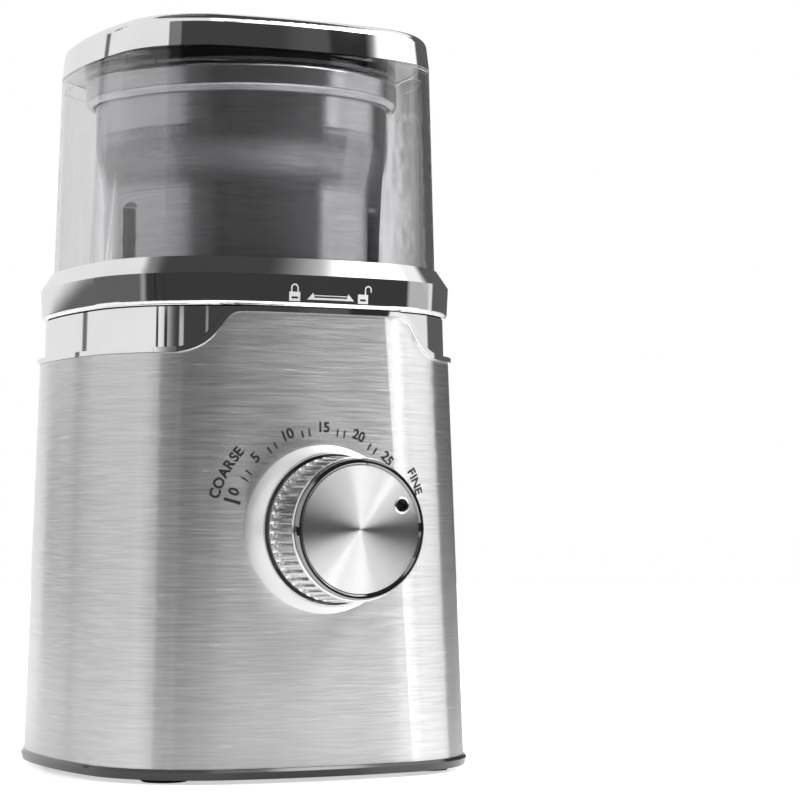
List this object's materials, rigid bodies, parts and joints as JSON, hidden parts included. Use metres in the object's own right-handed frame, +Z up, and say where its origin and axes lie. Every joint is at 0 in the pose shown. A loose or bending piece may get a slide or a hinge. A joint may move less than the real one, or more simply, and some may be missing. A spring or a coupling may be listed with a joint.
{
  "type": "electric spice grinder",
  "caption": "Table-top electric spice grinder: tapered steel motor body with grind dial, lift-out steel bowl with blade, and clear twist-lock lid.",
  "frame": {"origin": "on the table, on the upright axis of the motor and bowl, midway between the four feet", "axes": "+Z up along the motor's axis, -Y to the front, where the dial is, +X to the right as seen from the front"},
  "size_m": [0.1254, 0.1513, 0.2215],
  "materials": {
    "steel_wrap": "fine horizontal brushed stainless steel",
    "bowl_steel": "satin stainless steel, spun",
    "blade_steel": "ground stainless steel, polished arms",
    "bright_plating": "mirror chrome plating on moulded plastic",
    "knob_plating": "satin chrome plating on moulded plastic",
    "knob_disc": "spun aluminium disc",
    "smoke_clear": "clear smoke-tinted plastic",
    "black_gloss": "gloss black",
    "black_plastic": "matt black moulded plastic",
    "grey_plastic": "matt grey moulded plastic",
    "white_plastic": "acetal, white",
    "brown_board": "printed circuit board, green",
    "black_rubber": "moulded rubber",
    "grey_rubber": "silicone rubber",
    "lamination": "stacked electrical steel",
    "plated_steel": "zinc-plated pressed steel",
    "screw_steel": "zinc-plated steel",
    "shaft_steel": "ground steel",
    "copper": "enamelled copper wire and copper bars",
    "carbon": "pressed carbon",
    "bronze": "sintered bronze"
  },
  "bodies": {
    "base": {"base_tray": "black_gloss", "rubber_feet": "black_rubber", "base_screws": "screw_steel", "body_wrap": "steel_wrap", "trim_bead": "bright_plating", "frame": "grey_plastic", "top_shroud": "bright_plating", "shroud_screws": "screw_steel", "shaft_seal": "black_rubber", "motor_stator": "lamination", "field_coils": "copper", "top_bracket": "plated_steel", "bottom_bracket": "plated_steel", "motor_bearings": "bronze", "brush_holders": "white_plastic", "carbon_brushes": "carbon", "motor_bolts": "screw_steel", "rubber_mounts": "black_rubber", "mount_screws": "screw_steel", "interlock_switch": "black_plastic", "interlock_spring": "screw_steel", "dial_switch": "grey_plastic", "dial_nut": "screw_steel", "dial_bezel": "knob_plating", "control_board": "brown_board", "board_parts": "black_plastic", "board_screws": "screw_steel", "cord_grommet": "black_rubber"},
    "rotor": {"motor_shaft": "shaft_steel", "armature_core": "lamination", "armature_windings": "copper", "commutator": "copper", "cooling_fan": "white_plastic", "drive_coupling": "white_plastic"},
    "bowl": {"grinding_bowl": "bowl_steel", "bowl_base": "black_plastic", "bowl_hub": "black_plastic", "bowl_screws": "screw_steel", "bowl_bush": "bronze"},
    "blade_set": {"blade": "blade_steel", "blade_shaft": "shaft_steel", "blade_rivet": "blade_steel", "driven_coupling": "white_plastic"},
    "lid_inner": {"lid_plate": "smoke_clear", "lid_seal": "grey_rubber", "plate_clip": "plated_steel", "clip_screw": "screw_steel"},
    "lid": {"lid_cap": "bright_plating", "lid_shell": "smoke_clear", "lid_collar": "bright_plating", "lid_lock_ring": "grey_plastic"},
    "knob": {"dial_shaft": "shaft_steel", "knob_body": "knob_plating", "knob_ring": "bright_plating", "knob_face": "knob_disc", "knob_index": "black_gloss"},
    "interlock": {"interlock_pin": "white_plastic"}
  },
  "joints": [
    {"name": "rotor_spin", "type": "hinge", "parent": "base", "child": "rotor", "pos_m": [0, 0, 0.08], "axis": [0, 0, 1], "continuous": true},
    {"name": "bowl_lift", "type": "slide", "parent": "base", "child": "bowl", "axis": [0, 0, 1], "range_m": [0, 0.06]},
    {"name": "blade_spin", "type": "hinge", "parent": "bowl", "child": "blade_set", "pos_m": [0, 0, 0.15], "axis": [0, 0, 1], "continuous": true},
    {"name": "lid_lift", "type": "slide", "parent": "bowl", "child": "lid_inner", "axis": [0, 0, 1], "range_m": [0, 0.09]},
    {"name": "lid_turn", "type": "hinge", "parent": "lid_inner", "child": "lid", "pos_m": [0, 0, 0.212], "axis": [0, 0, 1], "range_deg": [0, 18]},
    {"name": "knob_turn", "type": "hinge", "parent": "base", "child": "knob", "pos_m": [0, -0.05987, 0.0718], "axis": [0, -1, 0], "range_deg": [-6.2, 130.6]},
    {"name": "interlock_rise", "type": "slide", "parent": "base", "child": "interlock", "axis": [0, 0, 1], "range_m": [0, 0.0025], "deforming": ["interlock_spring"]}
  ],
  "couplings": [
    {"joint": "blade_spin", "follows": "rotor_spin", "ratio": 1},
    {"joint": "interlock_rise", "follows": "lid_turn", "m_per_rad": 0.0079577}
  ]
}
